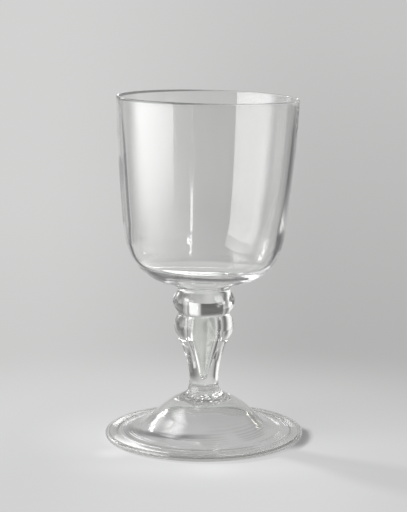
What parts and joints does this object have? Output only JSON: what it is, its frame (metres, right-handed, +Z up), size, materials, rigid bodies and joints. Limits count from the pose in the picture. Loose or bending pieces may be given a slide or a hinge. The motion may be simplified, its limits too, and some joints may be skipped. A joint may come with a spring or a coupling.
{
  "type": "drinking goblet",
  "caption": "Clear blown-glass goblet: deep round-bottomed bowl on a knop and an inverted baluster stem with an air tear, over a domed foot with a folded rim.",
  "frame": {"origin": "centre of the ring that the foot stands on, in the plane of the table", "axes": "+Z up the stem, towards the rim; +X towards the side that the bowl leans to"},
  "size_m": [0.096, 0.096, 0.1655],
  "materials": {
    "bowl_glass": "clear hand-blown glass, fire-polished, faintly grey, with fine blowing lines and small seeds",
    "stem_glass": "clear solid glass with a faint grey-green tint where it is thick, tooled marks round it",
    "foot_glass": "clear glass with the ripples of spinning, lightly scratched where it stands",
    "broken_glass": "rough broken glass of a pontil mark, chipped and half dull"
  },
  "bodies": {
    "root": {"bowl": "bowl_glass", "knop": "stem_glass", "baluster": "stem_glass", "foot": "foot_glass", "pontil_scar": "broken_glass"}
  },
  "joints": []
}
